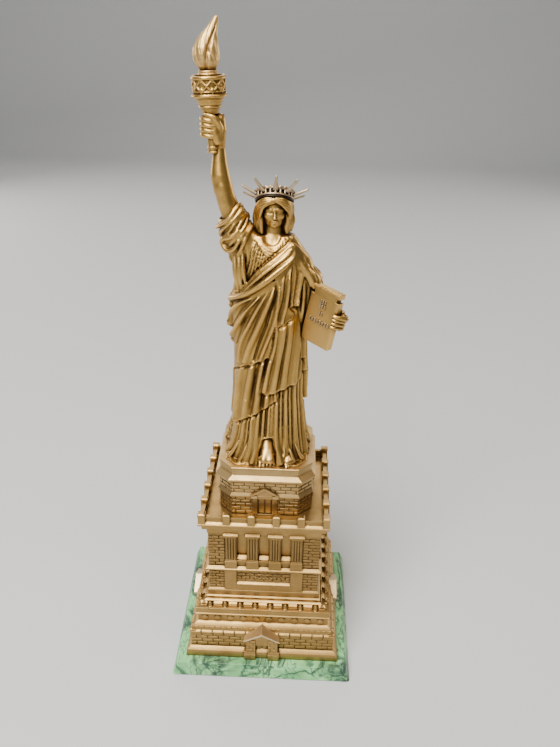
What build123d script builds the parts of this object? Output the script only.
"""Miniature landmark model: a robed figure with a torch on a stepped pedestal and a marble plate.

Frame: origin at the centre of the underside, +Z up, front towards -Y. Millimetres.
The castings are hollow, stand on each other's spigots, and one tie rod clamps the stack to the plate.
"""

import os
from math import cos, radians, sin

from build123d import *

# ---------------------------------------------------------------- driving dimensions
PLATE = 136.0  # marble plate, square, at its foot
PLATE_TOP = 129.6
PLATE_THICK = 10.0
FELT = 0.8

Z_PLATE = FELT + PLATE_THICK  # where the foundation stands
Z_TOWER = 60.0
Z_GALLERY = 119.0
Z_DECK = 131.5
Z_FIGURE = 171.5

WALL = 3.0  # casting wall
OVERLAP = 1.0  # how far an added solid starts inside its neighbour, or a cut runs past a face
SPIGOT = 2.0  # height of each locating spigot
SPIGOT_GAP = 0.2  # clearance of a spigot in the casting above

ROD_R = 3.0  # M6 tie rod
ROD_HOLE_R = 3.3
NUT_FLAT = 10.0  # across flats
NUT_HIGH = 4.0
THREAD_GAP = 0.05
ROD_LOW, ROD_HIGH = 1.8, 195.4
WASHER_R = 7.0
WASHER_THICK = 1.2
COUNTERBORE_R = 9.0
COUNTERBORE_DEEP = 7.0
EDGE_CHAMFER = 0.6
PIN_CHAMFER = 0.3
PLATE_CORNER_R, PLATE_EDGE_R = 1.6, 0.7
FELT_MARGIN, FELT_CORNER_R = 2.5, 3.0

FRIEZE_HALF = 49.5
# foundation: (half width at the bottom, half width at the top, bottom, top) of each tier
FOUNDATION_TIERS = (
    (58.6, 57.8, Z_PLATE, 16.3),
    (57.8, 55.9, 16.3, 18.9),
    (54.8, 54.8, 18.9, 31.8),
    (55.3, 55.3, 31.8, 34.6),
    (53.6, 50.2, 34.6, 39.8),
    (FRIEZE_HALF, FRIEZE_HALF, 39.8, 47.3),
    (51.3, 50.8, 47.3, 53.7),
    (45.0, 45.0, 53.7, 57.2),
    (43.5, 43.5, 57.2, Z_TOWER),
)
TOWER_SPIGOT_HALF = 38.0  # half width of the tower's hollow and of the spigot that enters it
# hollow of the foundation, from its floor up: (half width at the bottom, at the top, bottom, top)
FOUNDATION_HOLLOW = (
    (51.6, 51.6, Z_PLATE, 33.0),
    (51.0, 46.2, 33.0, 40.5),
    (46.2, 46.2, 40.5, 50.5),
    (41.8, 41.8, 50.5, 54.0),
    (TOWER_SPIGOT_HALF, TOWER_SPIGOT_HALF, 54.0, Z_TOWER - WALL),
)
DISC_R, DISC_STAND, DISC_Z, DISC_PITCH, DISC_COUNT = 2.5, 0.7, 43.6, 9.8, 10
BOLLARD_R, BOLLARD_Z, BOLLARD_HIGH, BOLLARD_PITCH, BOLLARD_COUNT = 1.5, 53.7, 4.0, 11.4, 8
BOLLARD_Y = 48.6

# entrance porch in the middle of each side of the foundation
PORCH_HALF, PORCH_FRONT = 12.2, 58.9
PORCH_FOOT_HALF, PORCH_FOOT_FRONT, PORCH_FOOT_TOP = 13.5, 60.4, 18.2
ROOF_HALF, ROOF_FRONT, ROOF_BACK = 13.6, 61.4, 50.0
ROOF_EAVE_Z, ROOF_RIDGE_Z, ROOF_THICK, ROOF_SOFFIT_RISE = 32.4, 39.4, 1.4, 2.0
DOOR_HALF, DOOR_TOP, DOOR_BACK = 4.7, 25.0, 55.2

# tower: plinth, lower storey, string course, upper storey
TOWER_FACE = 41.2  # half width at the foot of the lower storey
TOWER_TIERS = (
    (42.5, 42.3, Z_TOWER, 63.8),
    (42.3, 41.4, 63.8, 65.9),
    (TOWER_FACE, 41.0, 65.9, 85.2),
    (43.4, 43.4, 85.2, 86.2),
    (43.4, 41.4, 86.2, 88.1),
    (41.0, 40.6, 88.1, Z_GALLERY),
)
GALLERY_SPIGOT_HALF = 37.0  # half width of the gallery's hollow
TOWER_HOLLOW = (
    (TOWER_SPIGOT_HALF, TOWER_SPIGOT_HALF, Z_TOWER, 90.0),
    (33.2, 33.2, 90.0, Z_GALLERY - WALL),
)
PANEL_HALF, PANEL_LOW, PANEL_HIGH, PANEL_DEEP = 20.2, 72.5, 84.6, 1.4
PILASTER_X = (-24.3, -8.3, 8.3, 24.3)
OPENING_X = (-16.3, 0.0, 16.3)
OPENING_HALF, OPENING_LOW, OPENING_HIGH, OPENING_DEEP = 4.2, 94.5, 117.6, 5.0
NICHE_LOW, NICHE_HIGH, NICHE_DEEP = 88.1, 92.4, 2.0
CAP_HALF, CAP_LOW, CAP_STAND, CAP_ROOT = 5.5, 117.4, 1.4, 2.0

# gallery: cove under the deck, then the parapet
DECK_WALL = 4.5
GALLERY_TIERS = (
    (41.2, 41.4, Z_GALLERY, 121.0),
    (41.4, 44.2, 121.0, 125.1),
    (44.4, 46.9, 125.1, 129.6),
    (47.3, 47.3, 129.6, Z_DECK),
)
PARAPET_OUT, PARAPET_IN, PARAPET_TOP = 46.5, 42.7, 137.2
POST_HALF, POST_TOP = 2.5, 139.9
POST_PITCH, POST_COUNT = 17.74, 6

# upper plinth: square with cut corners, (half width bottom, top, bottom z, top z)
PLINTH_CUT = 9.6
PLINTH_TIERS = (
    (33.3, 33.3, Z_DECK, 147.0),
    (34.4, 34.4, 147.0, 150.2),
    (33.4, 33.4, 150.2, 159.4),
    (33.4, 35.6, 159.4, 161.4),
    (35.6, 33.4, 161.4, 165.2),
    (33.0, 33.0, 165.2, Z_FIGURE),
)
PLINTH_DOOR_HALF, PLINTH_JAMB_HALF, PLINTH_DOOR_TOP = 5.2, 8.8, 147.6
PLINTH_DOOR_SINK, PLINTH_LINTEL = 0.6, 1.5
PEDIMENT_HALF, PEDIMENT_TOP, PEDIMENT_EAVE, PLINTH_DOOR_STAND = 9.6, 155.6, 1.2, 1.3
PLINTH_SPIGOT_HALF = 30.0  # half width of the upper plinth's hollow

# figure: (height, half width, half depth, centre x, centre y) of the robe's sections
ROBE = (
    (177.0, 30.0, 27.5, 0.0, -0.5),
    (196.0, 26.0, 23.5, 0.0, -0.5),
    (225.0, 25.0, 21.0, 1.0, -0.5),
    (262.0, 25.5, 18.5, -0.5, -0.5),
    (292.0, 22.5, 15.5, 0.5, 0.0),
    (312.0, 22.5, 13.0, 1.0, 0.5),
    (327.0, 13.0, 9.0, 1.5, 1.0),
)
GROUND_TOP = 177.0  # rough ground that the figure stands on
GROUND_HALF, GROUND_SLOPE = 31.5, 1.5
REGISTER_R = 20.0  # round register between plinth and figure
BRIDGE_LOW, BRIDGE_HIGH, BRIDGE_HALF = 186.0, 194.0, 8.0
ROBE_WALL = 6.0  # the robe's wall is thick, for its deep folds
ANCHOR_R, ANCHOR_FLANGE_R, ANCHOR_FLANGE = 5.0, 7.0, 2.0

# head and crown
HEAD_CENTRE = Vector(2.2, -0.5, 346.0)
HEAD_R, HEAD_HALF_HIGH = 10.0, 12.0
NECK_SOCKET = 20.0  # cut above the peg's foot, past the top of the robe
NECK_R, NECK_LOW, NECK_PEG_R, NECK_PEG_LOW = 5.6, 327.0, 4.0, 316.0
CROWN_CENTRE = Vector(2.35, -0.5, 350.5)
CROWN_TILT, CROWN_TURN = 33.0, 5.5  # degrees, tilted back and turned to +X
BAND_R, BAND_IN, BAND_HIGH = 12.3, 10.6, 6.0
BAND_SEAT_R = BAND_R + 4.0  # the head is cut back this far for the band
RAY_COUNT, RAY_SPAN, RAY_TIP_R, RAY_RISE = 7, 228.0, 21.6, 5.0
RAY_ROOT_WIDE, RAY_TIP_WIDE, RAY_THICK = 4.4, 1.5, 1.4
RAY_TIP_THICK = 0.7 * RAY_THICK
RAY_PEG_R, RAY_ROOT_UP, RAY_ROOT_BACK, RAY_PEG_ROOT = 0.5, 2.6, 0.8, 0.6
RAY_CUT_LOW, RAY_CUT_HIGH = -8.0, 16.0  # span of the cut that fits a ray's foot to the band

# raised right arm: (x, y, z, radius) along its axis, then the fist
ARM = (
    (-23.5, 0.0, 340.0, 7.0),
    (-29.8, 0.5, 358.5, 5.9),
    (-32.0, 0.0, 371.0, 5.3),
    (-32.6, -0.5, 385.0, 4.2),
)
SHOULDER = (-17.5, 0.5, 320.5)
SLEEVE_R, SLEEVE_END_R = 10.5, 8.8
LEFT_SLEEVE_R, LEFT_SLEEVE_END_R = 10.0, 8.0
LEFT_ELBOW_R, LEFT_WRIST_R = 5.5, 4.5
FIST_LOW = (-34.9, -1.0, 384.6)
FIST_HALF_X, FIST_HALF_Y, FIST_HIGH, FIST_CORNER_R = 7.0, 6.4, 14.0, 4.5
DOWEL_R, DOWEL_LONG = 1.5, 16.0

# torch: (radius, height above the foot of the handle) round its own leaning axis
TORCH_FOOT = Vector(-34.9, -1.0, 379.6)
TORCH_LEAN = 2.7  # degrees, towards -X
GALLERY_FLOOR = 35.5
HANDLE_PROFILE = (
    (0, 0), (2.2, 0), (2.9, 0.6), (2.2, 1.2), (2.2, 2.2), (2.9, 2.8), (2.2, 3.4), (2.2, 22.8), (0, 22.8),
)
GALLERY_PROFILE = (
    (0, 22.8), (4.6, 22.8), (4.6, 25.2), (6.2, 26.0), (6.2, 27.0), (5.4, 27.6), (8.3, 30.6),
    (10.1, 33.0), (10.1, 34.2), (9.4, 34.6), (9.4, 41.0), (9.9, 41.6), (9.9, 42.8), (8.2, 42.8),
    (8.2, GALLERY_FLOOR), (0, GALLERY_FLOOR),
)
COLLAR_R = 5.4
# flame: (height, sideways shift, radius) of its sections
FLAME_SECTIONS = (
    (44.5, 0.3, 4.6), (50.0, 0.0, 6.6), (56.5, -0.2, 7.4),
    (62.0, 1.0, 6.2), (68.0, 4.0, 3.4), (73.2, 7.0, 0.8),
)
STUD_R, STUD_LONG = 1.25, 10.0

# tablet in the crook of the left arm
TABLET_CENTRE = Vector(35.3, -14.7, 280.8)
TABLET_WIDE, TABLET_HIGH, TABLET_THICK = 23.0, 39.4, 5.8
TABLET_ACROSS = Vector(0.759, -0.636, -0.140)
TABLET_FACE = Vector(-0.623, -0.772, 0.130)
TABLET_EDGE_R = 0.5
NOTCH, NOTCH_DOWN = 2.4, 3.6
ARM_CLEAR = 30.0  # depth of the robe that is cut away in front of the tablet
FINGER_R, FINGER_COUNT, FINGER_PITCH, FINGER_REACH = 1.5, 4, 2.95, 7.0
FINGER_THICK, KNUCKLE_OUT = 2.4, 2.4
PALM_THICK, PALM_WIDE = 4.2, 13.0
LEFT_SHOULDER = (15.5, 1.0, 318.0)
LEFT_ELBOW = (27.5, 2.0, 290.0)
LEFT_WRIST = (40.5, -8.5, 282.0)


# ---------------------------------------------------------------- shared shapes
SIDES = (0, 90, 180, 270)
STAND = (Align.CENTER, Align.CENTER, Align.MIN)  # a solid that stands on its place
FOOT = (Align.CENTER, Align.MIN)  # a sketch shape that stands on its place


def square_tier(half_low, half_high, low, high, mode=Mode.ADD):
    """A square frustum, added to the part that is open."""
    with BuildSketch(Plane.XY.offset(low)) as foot:
        Rectangle(2 * half_low, 2 * half_low)
    with BuildSketch(Plane.XY.offset(high)) as head:
        Rectangle(2 * half_high, 2 * half_high)
    loft(sections=[foot.sketch, head.sketch], mode=mode)


def cut_square(half, cut):
    """Outline of a square with its corners cut off, in the sketch that is open."""
    side = half - cut
    Polygon(
        (side, -half), (half, -side), (half, side), (side, half),
        (-side, half), (-half, side), (-half, -side), (-side, -half),
        align=None,
    )


def octagon_tier(half_low, half_high, low, high, mode=Mode.ADD):
    """A frustum with cut corners, added to the part that is open."""
    with BuildSketch(Plane.XY.offset(low)) as foot:
        cut_square(half_low, PLINTH_CUT)
    with BuildSketch(Plane.XY.offset(high)) as head:
        cut_square(half_high, PLINTH_CUT)
    loft(sections=[foot.sketch, head.sketch], mode=mode)


def side_plane(out, turn, low=0.0):
    """Plane of one side face: its x runs along the face, its y is up, its normal points outwards."""
    angle = radians(turn)
    outward = Vector(sin(angle), -cos(angle), 0)
    along = Vector(cos(angle), sin(angle), 0)
    return Plane(origin=outward * out + Vector(0, 0, low), x_dir=along, z_dir=outward)


def row(count, pitch):
    """Evenly spaced places about zero."""
    return [(number - (count - 1) / 2) * pitch for number in range(count)]


def rod_hole(low, deep):
    """Clearance hole for the tie rod, through the part that is open."""
    with Locations((0, 0, low)):
        Cylinder(ROD_HOLE_R, deep, align=STAND, mode=Mode.SUBTRACT)


# ---------------------------------------------------------------- plate
with BuildPart() as felt_pad:
    with BuildSketch():
        RectangleRounded(PLATE - 2 * FELT_MARGIN, PLATE - 2 * FELT_MARGIN, FELT_CORNER_R)
        Circle(COUNTERBORE_R, mode=Mode.SUBTRACT)
    extrude(amount=FELT)

with BuildPart() as marble_plate:
    square_tier(PLATE / 2, PLATE_TOP / 2, FELT, Z_PLATE)
    slanted = marble_plate.edges().filter_by(Axis.Z, reverse=True)
    slanted = slanted.filter_by(lambda edge: abs(edge.tangent_at(0.5).Z) > 0.5)
    fillet(slanted, PLATE_CORNER_R)
    fillet(marble_plate.faces().sort_by(Axis.Z)[-1].edges(), PLATE_EDGE_R)
    with Locations(Plane.XY.offset(FELT).rotated((180, 0, 0))):
        CounterBoreHole(ROD_HOLE_R, COUNTERBORE_R, COUNTERBORE_DEEP)

# ---------------------------------------------------------------- foundation
with BuildPart() as foundation_casting:
    for tier in FOUNDATION_TIERS:
        square_tier(*tier)
    for turn in SIDES:
        # walls and foot of the porch
        for half, front, top in (
            (PORCH_HALF, PORCH_FRONT, ROOF_EAVE_Z + OVERLAP),
            (PORCH_FOOT_HALF, PORCH_FOOT_FRONT, PORCH_FOOT_TOP),
        ):
            with BuildSketch(side_plane(DOOR_BACK - OVERLAP, turn, Z_PLATE)):
                Rectangle(2 * half, top - Z_PLATE, align=FOOT)
            extrude(amount=front - DOOR_BACK + OVERLAP)
        # its gabled roof
        with BuildSketch(side_plane(ROOF_BACK, turn)):
            Polygon(
                (-ROOF_HALF, ROOF_EAVE_Z - ROOF_THICK), (0, ROOF_EAVE_Z - ROOF_THICK + ROOF_SOFFIT_RISE),
                (ROOF_HALF, ROOF_EAVE_Z - ROOF_THICK), (ROOF_HALF, ROOF_EAVE_Z),
                (0, ROOF_RIDGE_Z), (-ROOF_HALF, ROOF_EAVE_Z),
                align=None,
            )
        extrude(amount=ROOF_FRONT - ROOF_BACK)
        with BuildSketch(side_plane(DOOR_BACK, turn, Z_PLATE)):
            Rectangle(2 * DOOR_HALF, DOOR_TOP - Z_PLATE, align=FOOT)
        extrude(amount=PORCH_FOOT_FRONT - DOOR_BACK + OVERLAP, mode=Mode.SUBTRACT)
        # the row of discs in the frieze, and the bollards on the step above it
        with BuildSketch(side_plane(FRIEZE_HALF - OVERLAP, turn, DISC_Z)):
            with Locations(*[(place, 0) for place in row(DISC_COUNT, DISC_PITCH)]):
                Circle(DISC_R)
        extrude(amount=OVERLAP + DISC_STAND)
        step_plane = side_plane(BOLLARD_Y, turn, BOLLARD_Z)
        for place in row(BOLLARD_COUNT, BOLLARD_PITCH):
            with Locations(step_plane.origin + step_plane.x_dir * place):
                Cylinder(BOLLARD_R, BOLLARD_HIGH, align=STAND)
    with BuildSketch(Plane.XY.offset(Z_TOWER)):
        Rectangle(2 * (TOWER_SPIGOT_HALF - SPIGOT_GAP), 2 * (TOWER_SPIGOT_HALF - SPIGOT_GAP))
    extrude(amount=SPIGOT)
    for hollow in FOUNDATION_HOLLOW:
        square_tier(*hollow, Mode.SUBTRACT)
    rod_hole(Z_TOWER - WALL, WALL + SPIGOT)

# ---------------------------------------------------------------- tower
with BuildPart() as tower_casting:
    for tier in TOWER_TIERS:
        square_tier(*tier)
    for turn in SIDES:
        with BuildSketch(side_plane(TOWER_FACE - PANEL_DEEP, turn, PANEL_LOW)):
            Rectangle(2 * PANEL_HALF, PANEL_HIGH - PANEL_LOW, align=FOOT)
        extrude(amount=PANEL_DEEP + OVERLAP, mode=Mode.SUBTRACT)
        for place in OPENING_X:
            # each tall opening, and the shallow niche below its sill
            for low, high, deep in (
                (OPENING_LOW, OPENING_HIGH, OPENING_DEEP),
                (NICHE_LOW, NICHE_HIGH, NICHE_DEEP),
            ):
                with BuildSketch(side_plane(TOWER_FACE - deep, turn, low)):
                    with Locations((place, 0)):
                        Rectangle(2 * OPENING_HALF, high - low, align=FOOT)
                extrude(amount=deep + OVERLAP, mode=Mode.SUBTRACT)
        for place in PILASTER_X:
            with BuildSketch(side_plane(TOWER_FACE - CAP_ROOT, turn, CAP_LOW)):
                with Locations((place, 0)):
                    Rectangle(2 * CAP_HALF, Z_GALLERY - CAP_LOW, align=FOOT)
            extrude(amount=CAP_ROOT + CAP_STAND)
    with BuildSketch(Plane.XY.offset(Z_GALLERY)):
        Rectangle(2 * (GALLERY_SPIGOT_HALF - SPIGOT_GAP), 2 * (GALLERY_SPIGOT_HALF - SPIGOT_GAP))
    extrude(amount=SPIGOT)
    for hollow in TOWER_HOLLOW:
        square_tier(*hollow, Mode.SUBTRACT)
    rod_hole(Z_GALLERY - WALL, WALL + SPIGOT)

# ---------------------------------------------------------------- gallery
with BuildPart() as gallery_casting:
    for tier in GALLERY_TIERS:
        square_tier(*tier)
    square_tier(PARAPET_OUT, PARAPET_OUT, Z_DECK, PARAPET_TOP)
    square_tier(PARAPET_IN, PARAPET_IN, Z_DECK, PARAPET_TOP, Mode.SUBTRACT)
    post_row = row(POST_COUNT, POST_PITCH)
    for x in post_row:
        for y in post_row:
            if max(abs(x), abs(y)) > post_row[-1] - OVERLAP:
                with Locations((x, y, Z_DECK)):
                    Box(2 * POST_HALF, 2 * POST_HALF, POST_TOP - Z_DECK, align=STAND)
    with BuildSketch(Plane.XY.offset(Z_DECK)):
        cut_square(PLINTH_SPIGOT_HALF - SPIGOT_GAP, PLINTH_CUT)
    extrude(amount=SPIGOT)
    square_tier(GALLERY_SPIGOT_HALF, GALLERY_SPIGOT_HALF, Z_GALLERY, Z_DECK - DECK_WALL, Mode.SUBTRACT)
    rod_hole(Z_DECK - DECK_WALL, DECK_WALL + SPIGOT)

# ---------------------------------------------------------------- upper plinth
with BuildPart() as upper_plinth_casting:
    for tier in PLINTH_TIERS:
        octagon_tier(*tier)
    wall_face = PLINTH_TIERS[0][0]
    lintel = PLINTH_DOOR_TOP - Z_DECK
    for turn in SIDES:
        with BuildSketch(side_plane(wall_face - OVERLAP, turn, Z_DECK)):
            Polygon(
                (-PLINTH_JAMB_HALF, 0), (PLINTH_JAMB_HALF, 0), (PLINTH_JAMB_HALF, lintel),
                (PEDIMENT_HALF, lintel), (PEDIMENT_HALF, lintel + PEDIMENT_EAVE), (0, PEDIMENT_TOP - Z_DECK),
                (-PEDIMENT_HALF, lintel + PEDIMENT_EAVE), (-PEDIMENT_HALF, lintel), (-PLINTH_JAMB_HALF, lintel),
                align=None,
            )
        extrude(amount=OVERLAP + PLINTH_DOOR_STAND)
        with BuildSketch(side_plane(wall_face - PLINTH_DOOR_SINK, turn, Z_DECK)):
            Rectangle(2 * PLINTH_DOOR_HALF, lintel - PLINTH_LINTEL, align=FOOT)
        extrude(amount=PLINTH_DOOR_SINK + PLINTH_DOOR_STAND + OVERLAP, mode=Mode.SUBTRACT)
    with Locations((0, 0, Z_FIGURE)):
        Cylinder(REGISTER_R - SPIGOT_GAP, SPIGOT, align=STAND)
    octagon_tier(PLINTH_SPIGOT_HALF, PLINTH_SPIGOT_HALF, Z_DECK, Z_FIGURE - WALL, Mode.SUBTRACT)
    rod_hole(Z_FIGURE - WALL, WALL + SPIGOT)

# ---------------------------------------------------------------- tablet and left hand
tablet_plane = Plane(origin=TABLET_CENTRE, x_dir=TABLET_ACROSS, z_dir=TABLET_FACE)
tablet_edge = TABLET_WIDE / 2
tablet_skin = TABLET_THICK / 2

with BuildPart(tablet_plane) as tablet:
    Box(TABLET_WIDE, TABLET_HIGH, TABLET_THICK)
    fillet(tablet.edges(), TABLET_EDGE_R)
    notch_y = TABLET_HIGH / 2 - NOTCH_DOWN
    with Locations((tablet_edge, notch_y), (-tablet_edge, notch_y)):
        Box(NOTCH, NOTCH, TABLET_THICK, mode=Mode.SUBTRACT)

knuckle_plane = Plane(origin=TABLET_CENTRE, x_dir=tablet_plane.x_dir, z_dir=-tablet_plane.y_dir)
finger_tip = tablet_edge - FINGER_REACH
finger_skin = tablet_skin + FINGER_THICK
knuckle = tablet_edge + KNUCKLE_OUT
palm_end = tablet_edge - PALM_WIDE
palm_skin = -tablet_skin - PALM_THICK
with BuildPart() as left_hand:
    for place in row(FINGER_COUNT, FINGER_PITCH):
        # a hook round the tablet's edge: fingers in front, palm behind
        with BuildSketch(knuckle_plane.offset(-place - FINGER_R)):
            Polygon(
                (finger_tip, tablet_skin), (finger_tip, finger_skin), (knuckle, finger_skin),
                (knuckle, palm_skin), (palm_end, palm_skin), (palm_end, -tablet_skin),
                (tablet_edge, -tablet_skin), (tablet_edge, tablet_skin),
                align=None,
            )
        extrude(amount=2 * FINGER_R)

# ---------------------------------------------------------------- torch, held in the right fist
torch_lean = radians(TORCH_LEAN)
torch_up = Vector(-sin(torch_lean), 0, cos(torch_lean))
torch_plane = Plane(origin=TORCH_FOOT, x_dir=(cos(torch_lean), 0, sin(torch_lean)), z_dir=torch_up)
torch_side = Plane(origin=TORCH_FOOT, x_dir=torch_plane.x_dir, z_dir=-torch_plane.y_dir)

with BuildPart() as torch_handle:
    with BuildSketch(torch_side):
        Polygon(*HANDLE_PROFILE, align=None)
    revolve(axis=Axis(TORCH_FOOT, torch_up))

with BuildPart() as torch_gallery:
    with BuildSketch(torch_side):
        Polygon(*GALLERY_PROFILE, align=None)
    revolve(axis=Axis(TORCH_FOOT, torch_up))
    with BuildSketch(torch_plane.offset(GALLERY_FLOOR)):
        Circle(STUD_R)
    extrude(amount=-STUD_LONG / 2, mode=Mode.SUBTRACT)

with BuildPart() as torch_flame:
    with BuildSketch(torch_plane.offset(GALLERY_FLOOR)):
        Circle(COLLAR_R)
    extrude(amount=FLAME_SECTIONS[0][0] - GALLERY_FLOOR)
    for height, shift, radius in FLAME_SECTIONS:
        with BuildSketch(torch_plane.offset(height)):
            with Locations((shift, 0)):
                Circle(radius)
    loft()
    with BuildSketch(torch_plane.offset(GALLERY_FLOOR)):
        Circle(STUD_R)
    extrude(amount=STUD_LONG / 2, mode=Mode.SUBTRACT)

with BuildPart() as flame_stud:
    with BuildSketch(torch_plane.offset(GALLERY_FLOOR - STUD_LONG / 2)):
        Circle(STUD_R)
    extrude(amount=STUD_LONG)
    chamfer(flame_stud.edges().filter_by(GeomType.CIRCLE), PIN_CHAMFER)

# ---------------------------------------------------------------- raised right arm
arm_start = Vector(*ARM[0][:3])
sleeve_way = (arm_start - Vector(*SHOULDER)).normalized()
arm_seat = Plane(origin=arm_start, z_dir=sleeve_way)

with BuildPart() as right_arm_casting:
    way = sleeve_way
    for number, (x, y, z, radius) in enumerate(ARM):
        if number:
            way = (Vector(x, y, z) - Vector(*ARM[number - 1][:3])).normalized()
        with BuildSketch(Plane(origin=(x, y, z), z_dir=way)):
            Circle(radius)
    loft()
    with BuildSketch(Plane(origin=FIST_LOW, z_dir=torch_up)):
        RectangleRounded(2 * FIST_HALF_X, 2 * FIST_HALF_Y, FIST_CORNER_R)
    extrude(amount=FIST_HIGH)
    add(torch_handle.part, mode=Mode.SUBTRACT)
    with BuildSketch(arm_seat):
        Circle(DOWEL_R)
    extrude(amount=DOWEL_LONG / 2, mode=Mode.SUBTRACT)

with BuildPart() as arm_dowel:
    with BuildSketch(arm_seat.offset(-DOWEL_LONG / 2)):
        Circle(DOWEL_R)
    extrude(amount=DOWEL_LONG)
    chamfer(arm_dowel.edges().filter_by(GeomType.CIRCLE), PIN_CHAMFER)

# ---------------------------------------------------------------- head and crown
crown_turn, crown_tilt = radians(CROWN_TURN), radians(CROWN_TILT)
crown_up = Vector(-sin(crown_tilt) * sin(crown_turn), sin(crown_tilt) * cos(crown_turn), cos(crown_tilt))
crown_side = Vector(cos(crown_turn), sin(crown_turn), 0)
crown_plane = Plane(origin=CROWN_CENTRE, x_dir=crown_side, z_dir=crown_up)

with BuildPart() as head_casting:
    with BuildSketch(Plane(origin=HEAD_CENTRE, x_dir=(1, 0, 0), z_dir=(0, -1, 0))):
        Ellipse(HEAD_R, HEAD_HALF_HIGH)
        with Locations((-HEAD_R, 0)):
            Rectangle(2 * HEAD_R, 2 * HEAD_HALF_HIGH, mode=Mode.SUBTRACT)
    revolve(axis=Axis(HEAD_CENTRE, (0, 0, 1)))
    with Locations((HEAD_CENTRE.X, HEAD_CENTRE.Y, NECK_LOW)):
        Cylinder(NECK_R, HEAD_CENTRE.Z - NECK_LOW, align=STAND)
    with Locations((HEAD_CENTRE.X, HEAD_CENTRE.Y, NECK_PEG_LOW)):
        Cylinder(NECK_PEG_R, NECK_LOW - NECK_PEG_LOW, align=STAND)
    with BuildSketch(crown_plane):
        Circle(BAND_SEAT_R)
        Circle(BAND_IN, mode=Mode.SUBTRACT)
    extrude(amount=BAND_HIGH, mode=Mode.SUBTRACT)

ray_turns = [RAY_SPAN * (number / (RAY_COUNT - 1) - 0.5) for number in range(RAY_COUNT)]


def ray_way(turn):
    """Unit vector from the crown's axis outwards, turn degrees from the front towards +X."""
    return crown_plane.x_dir * sin(radians(turn)) - crown_plane.y_dir * cos(radians(turn))


with BuildPart() as crown_band:
    with BuildSketch(crown_plane):
        Circle(BAND_R)
        Circle(BAND_IN, mode=Mode.SUBTRACT)
    extrude(amount=BAND_HIGH)
    for turn in ray_turns:
        with BuildSketch(Plane(origin=CROWN_CENTRE + crown_up * RAY_ROOT_UP, z_dir=ray_way(turn))):
            Circle(RAY_PEG_R)
        extrude(amount=BAND_R + OVERLAP, mode=Mode.SUBTRACT)

blade_run = RAY_TIP_R - BAND_R
blade_long = (blade_run**2 + RAY_RISE**2) ** 0.5
crown_rays = []
for number, turn in enumerate(ray_turns):
    outward = ray_way(turn)
    blade_way = (outward * blade_run + crown_up * RAY_RISE).normalized()
    hub = CROWN_CENTRE + crown_up * RAY_ROOT_UP
    blade_plane = Plane(origin=hub + outward * BAND_R, x_dir=crown_up.cross(outward), z_dir=blade_way)
    with BuildPart() as crown_ray:
        with BuildSketch(blade_plane.offset(-RAY_ROOT_BACK)):
            Rectangle(RAY_ROOT_WIDE, RAY_THICK)
        with BuildSketch(blade_plane.offset(blade_long)):
            Rectangle(RAY_TIP_WIDE, RAY_TIP_THICK)
        loft()
        with BuildSketch(crown_plane.offset(RAY_CUT_LOW)):
            Circle(BAND_R)
        extrude(amount=RAY_CUT_HIGH - RAY_CUT_LOW, mode=Mode.SUBTRACT)
        with BuildSketch(Plane(origin=hub + outward * BAND_IN, z_dir=outward)):
            Circle(RAY_PEG_R)
        extrude(amount=BAND_R - BAND_IN + RAY_PEG_ROOT)
    crown_ray.part.label = f"crown_ray_{number + 1}"
    crown_rays.append(crown_ray)

# ---------------------------------------------------------------- robed figure
def robe_loft(sections, shrink, mode):
    """Loft through the robe's elliptical sections, each made smaller all round by shrink."""
    outlines = []
    for height, half_x, half_y, x, y in sections:
        with BuildSketch(Plane.XY.offset(height)) as outline:
            with Locations((x, y)):
                Ellipse(half_x - shrink, half_y - shrink)
        outlines.append(outline.sketch)
    loft(sections=outlines, mode=mode)


def limb(start, end, start_radius, end_radius):
    """A tapering round limb, added to the part that is open."""
    way = end - start
    with BuildSketch(Plane(origin=start, z_dir=way)) as near:
        Circle(start_radius)
    with BuildSketch(Plane(origin=end, z_dir=way)) as far:
        Circle(end_radius)
    loft(sections=[near.sketch, far.sketch])


with BuildPart() as figure_casting:
    robe_loft(ROBE, 0, Mode.ADD)
    octagon_tier(GROUND_HALF, GROUND_HALF - GROUND_SLOPE, Z_FIGURE, GROUND_TOP)
    limb(Vector(*SHOULDER), arm_start, SLEEVE_R, SLEEVE_END_R)
    limb(Vector(*LEFT_SHOULDER), Vector(*LEFT_ELBOW), LEFT_SLEEVE_R, LEFT_SLEEVE_END_R)
    limb(Vector(*LEFT_ELBOW), Vector(*LEFT_WRIST), LEFT_ELBOW_R, LEFT_WRIST_R)
    with BuildSketch(tablet_plane.offset(-tablet_skin)):
        Rectangle(TABLET_WIDE, TABLET_HIGH)
    extrude(amount=ARM_CLEAR, mode=Mode.SUBTRACT)
    add(left_hand.part, mode=Mode.SUBTRACT)
    with Locations((HEAD_CENTRE.X, HEAD_CENTRE.Y, NECK_PEG_LOW)):
        Cylinder(NECK_PEG_R, NECK_SOCKET, align=STAND, mode=Mode.SUBTRACT)
    with BuildSketch(arm_seat):
        Circle(DOWEL_R)
    extrude(amount=-DOWEL_LONG / 2, mode=Mode.SUBTRACT)
    # hollow core, and the bar across it that the tie rod pulls on
    with Locations((0, 0, Z_FIGURE)):
        Cylinder(REGISTER_R, ROBE[1][0] + OVERLAP - Z_FIGURE, align=STAND, mode=Mode.SUBTRACT)
    robe_loft(ROBE[1:5], ROBE_WALL, Mode.SUBTRACT)
    with Locations((0, 0, BRIDGE_LOW)):
        Box(2 * BRIDGE_HALF, 2 * REGISTER_R + OVERLAP, BRIDGE_HIGH - BRIDGE_LOW, align=STAND)
        Cylinder(ANCHOR_R, BRIDGE_HIGH - BRIDGE_LOW, align=STAND, mode=Mode.SUBTRACT)

# ---------------------------------------------------------------- clamping hardware
counterbore_top = FELT + COUNTERBORE_DEEP

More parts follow.
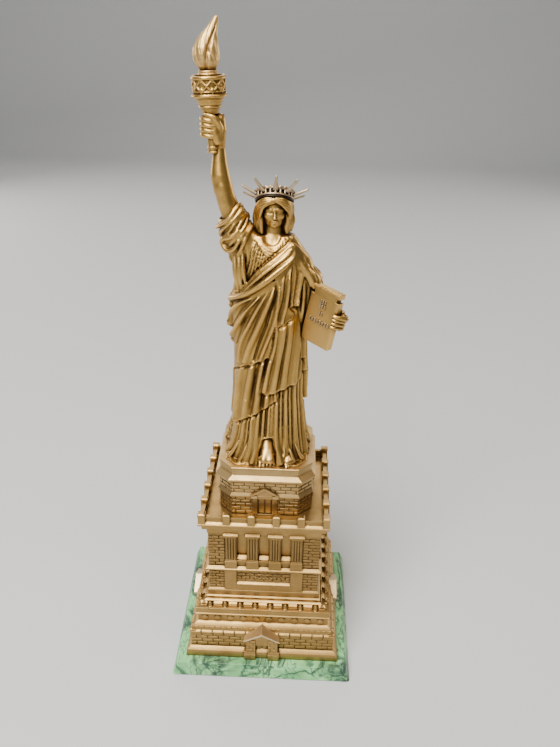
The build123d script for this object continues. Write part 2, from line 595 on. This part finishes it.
with BuildPart() as tie_rod_anchor:
    with Locations((0, 0, BRIDGE_LOW)):
        Cylinder(ANCHOR_R, BRIDGE_HIGH - BRIDGE_LOW, align=STAND)
    with Locations((0, 0, BRIDGE_HIGH)):
        Cylinder(ANCHOR_FLANGE_R, ANCHOR_FLANGE, align=STAND)
    with Locations((0, 0, BRIDGE_LOW)):
        Cylinder(ROD_R + THREAD_GAP, BRIDGE_HIGH + ANCHOR_FLANGE - BRIDGE_LOW, align=STAND,
                 mode=Mode.SUBTRACT)

with BuildPart() as tie_rod:
    with Locations((0, 0, ROD_LOW)):
        Cylinder(ROD_R, ROD_HIGH - ROD_LOW, align=STAND)
    chamfer(tie_rod.edges().filter_by(GeomType.CIRCLE), EDGE_CHAMFER)

with BuildPart() as tie_rod_washer:
    with BuildSketch(Plane.XY.offset(counterbore_top - WASHER_THICK)):
        Circle(WASHER_R)
        Circle(ROD_HOLE_R, mode=Mode.SUBTRACT)
    extrude(amount=WASHER_THICK)

with BuildPart() as tie_rod_nut:
    with BuildSketch(Plane.XY.offset(counterbore_top - WASHER_THICK - NUT_HIGH)):
        RegularPolygon(NUT_FLAT / 2, 6, major_radius=False)
        Circle(ROD_R + THREAD_GAP, mode=Mode.SUBTRACT)
    extrude(amount=NUT_HIGH)

# ---------------------------------------------------------------- labels and files
pieces = {
    "felt_pad": felt_pad,
    "marble_plate": marble_plate,
    "foundation_casting": foundation_casting,
    "tower_casting": tower_casting,
    "gallery_casting": gallery_casting,
    "upper_plinth_casting": upper_plinth_casting,
    "figure_casting": figure_casting,
    "head_casting": head_casting,
    "crown_band": crown_band,
    "right_arm_casting": right_arm_casting,
    "arm_dowel": arm_dowel,
    "torch_handle": torch_handle,
    "torch_gallery": torch_gallery,
    "torch_flame": torch_flame,
    "flame_stud": flame_stud,
    "tablet": tablet,
    "left_hand": left_hand,
    "tie_rod": tie_rod,
    "tie_rod_anchor": tie_rod_anchor,
    "tie_rod_washer": tie_rod_washer,
    "tie_rod_nut": tie_rod_nut,
}
for number, ray in enumerate(crown_rays):
    pieces[f"crown_ray_{number + 1}"] = ray

os.makedirs("parts", exist_ok=True)
for name, piece in pieces.items():
    piece.part.label = name
    export_step(piece.part, f"parts/{name}.step")
